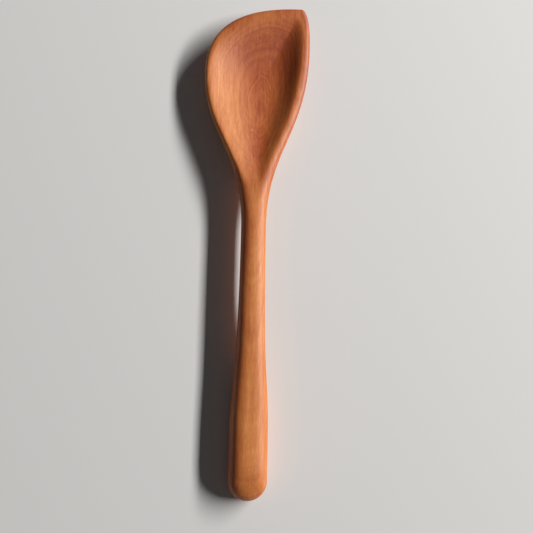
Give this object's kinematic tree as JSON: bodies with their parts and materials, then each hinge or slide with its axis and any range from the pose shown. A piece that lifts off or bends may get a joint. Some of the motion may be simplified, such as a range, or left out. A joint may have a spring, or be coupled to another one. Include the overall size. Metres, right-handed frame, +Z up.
{
  "type": "angled wooden spoon",
  "caption": "Carved wooden cooking spoon with a shallow bowl whose tip slants to one square corner, a slim neck and a rounded handle, for stirring and scraping pots.",
  "frame": {"origin": "on the table plane, under the middle of the spoon's bounding box", "axes": "+Y along the spoon from the butt of the handle to the tip of the bowl, +X towards the side with the corner, +Z up out of the hollow"},
  "size_m": [0.0662, 0.305, 0.0178],
  "materials": {
    "cherry_wood": "oiled satin"
  },
  "bodies": {
    "root": {"spoon": "cherry_wood"}
  },
  "joints": []
}
